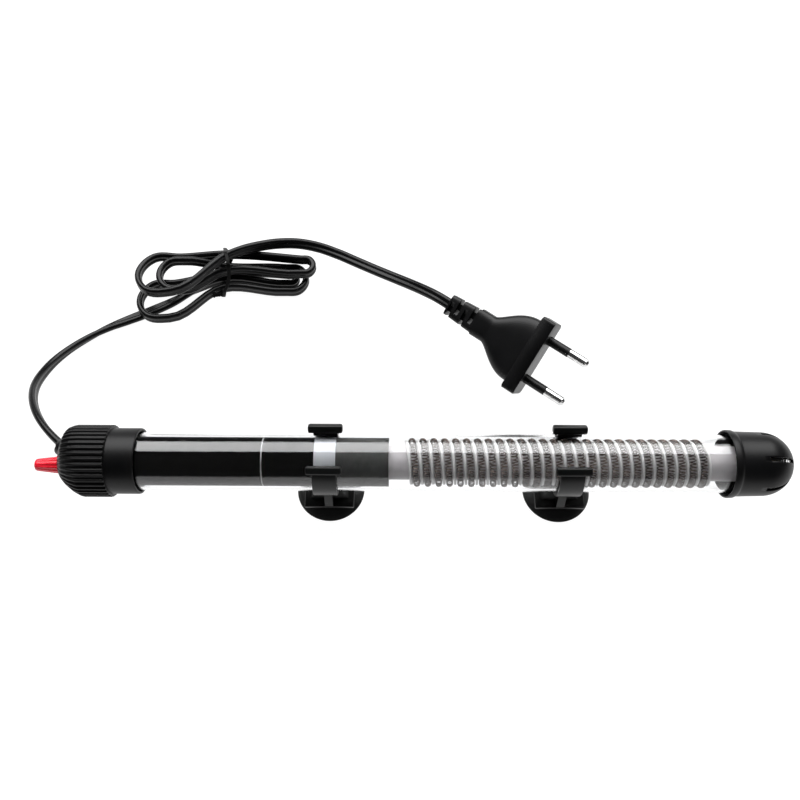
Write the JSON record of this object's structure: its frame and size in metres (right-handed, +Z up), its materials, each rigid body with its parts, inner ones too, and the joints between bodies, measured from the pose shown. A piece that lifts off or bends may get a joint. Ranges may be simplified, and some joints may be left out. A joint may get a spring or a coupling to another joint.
{
  "type": "submersible aquarium heater",
  "caption": "Glass tube heater with a ribbed black head, red setting knob, slotted guard, clips on suction cups, a wound ceramic core and a tied mains lead with a two-pin plug.",
  "frame": {"origin": "under the middle of the heater's length, on the face that the suction cups rest on, below the tube's axis", "axes": "+X along the tube from the knob to the guard, +Y to the side where the lead lies, +Z up from the suction cups"},
  "size_m": [0.301, 0.137, 0.0406],
  "materials": {
    "glass": "clear polished",
    "black_plastic": "satin moulded",
    "seal_rubber": "matt",
    "brass": "turned",
    "printed_sleeve": "satin print",
    "label": "silver print, blank",
    "board": "pressed board",
    "steel": "drawn",
    "lamp_glass": "neon lamp",
    "nickel": "drawn wire",
    "ceramic": "unglazed",
    "heating_alloy": "oxidised wire",
    "red_plastic": "bright moulded",
    "bimetal": "rolled",
    "cup_rubber": "smooth",
    "cord_rubber": "matt sheath",
    "tie_plastic": "coated wire",
    "chrome": "bright plated"
  },
  "bodies": {
    "heater": {"glass_tube": "glass", "head_cap": "black_plastic", "cap_stopper": "seal_rubber", "knob_bush": "brass", "cord_gland": "seal_rubber", "print_sleeve": "printed_sleeve", "rating_label": "label", "thermostat_base": "board", "front_disc": "board", "end_disc": "board", "magnet": "steel", "fixed_contact": "brass", "indicator_lamp": "lamp_glass", "lamp_resistor": "board", "supply_wires": "nickel", "core_former": "ceramic", "core_ridge": "ceramic", "heating_wire": "heating_alloy", "return_wire": "nickel", "guard_cap": "black_plastic", "lever_pin": "brass", "cord_lead": "cord_rubber", "cord_hank": "cord_rubber", "cord_tail": "cord_rubber", "cord_tie": "tie_plastic", "plug_body": "black_plastic", "plug_relief": "black_plastic", "plug_pins": "chrome", "pin_sleeves": "black_plastic"},
    "knob_set": {"knob": "red_plastic", "knob_spindle": "steel", "knob_seal": "seal_rubber"},
    "lever": {"set_lever": "steel"},
    "bimetal": {"bimetal_strip": "bimetal"},
    "clip_near_head": {"clip_a": "black_plastic"},
    "clip_near_guard": {"clip_b": "black_plastic"},
    "cup_near_head": {"suction_cup_a": "cup_rubber"},
    "cup_near_guard": {"suction_cup_b": "cup_rubber"}
  },
  "joints": [
    {"name": "knob_turn", "type": "hinge", "parent": "heater", "child": "knob_set", "pos_m": [-0.139, -0.0018, 0.027], "axis": [1, 0, 0], "range_deg": [-150, 150]},
    {"name": "set_lever_tilt", "type": "hinge", "parent": "heater", "child": "lever", "pos_m": [-0.0675, 0, 0.0264], "axis": [0, 1, 0], "range_deg": [-2.5, 2.5]},
    {"name": "strip_flex", "type": "hinge", "parent": "heater", "child": "bimetal", "pos_m": [-0.0355, 0, 0.02685], "axis": [0, 1, 0], "range_deg": [-1, 1], "stiffness_Nm_per_rad": 0.05},
    {"name": "clip_near_head_slide", "type": "slide", "parent": "heater", "child": "clip_near_head", "axis": [1, 0, 0], "range_m": [-0.055, 0.032]},
    {"name": "clip_near_guard_slide", "type": "slide", "parent": "heater", "child": "clip_near_guard", "axis": [1, 0, 0], "range_m": [-0.031, 0.043]},
    {"name": "cup_near_head_swivel", "type": "hinge", "parent": "clip_near_head", "child": "cup_near_head", "pos_m": [-0.033, 0, 0], "axis": [0, 0, 1], "continuous": true},
    {"name": "cup_near_guard_swivel", "type": "hinge", "parent": "clip_near_guard", "child": "cup_near_guard", "pos_m": [0.058, 0, 0], "axis": [0, 0, 1], "continuous": true}
  ],
  "couplings": [
    {"joint": "knob_turn", "follows": "set_lever_tilt", "ratio": 60}
  ]
}
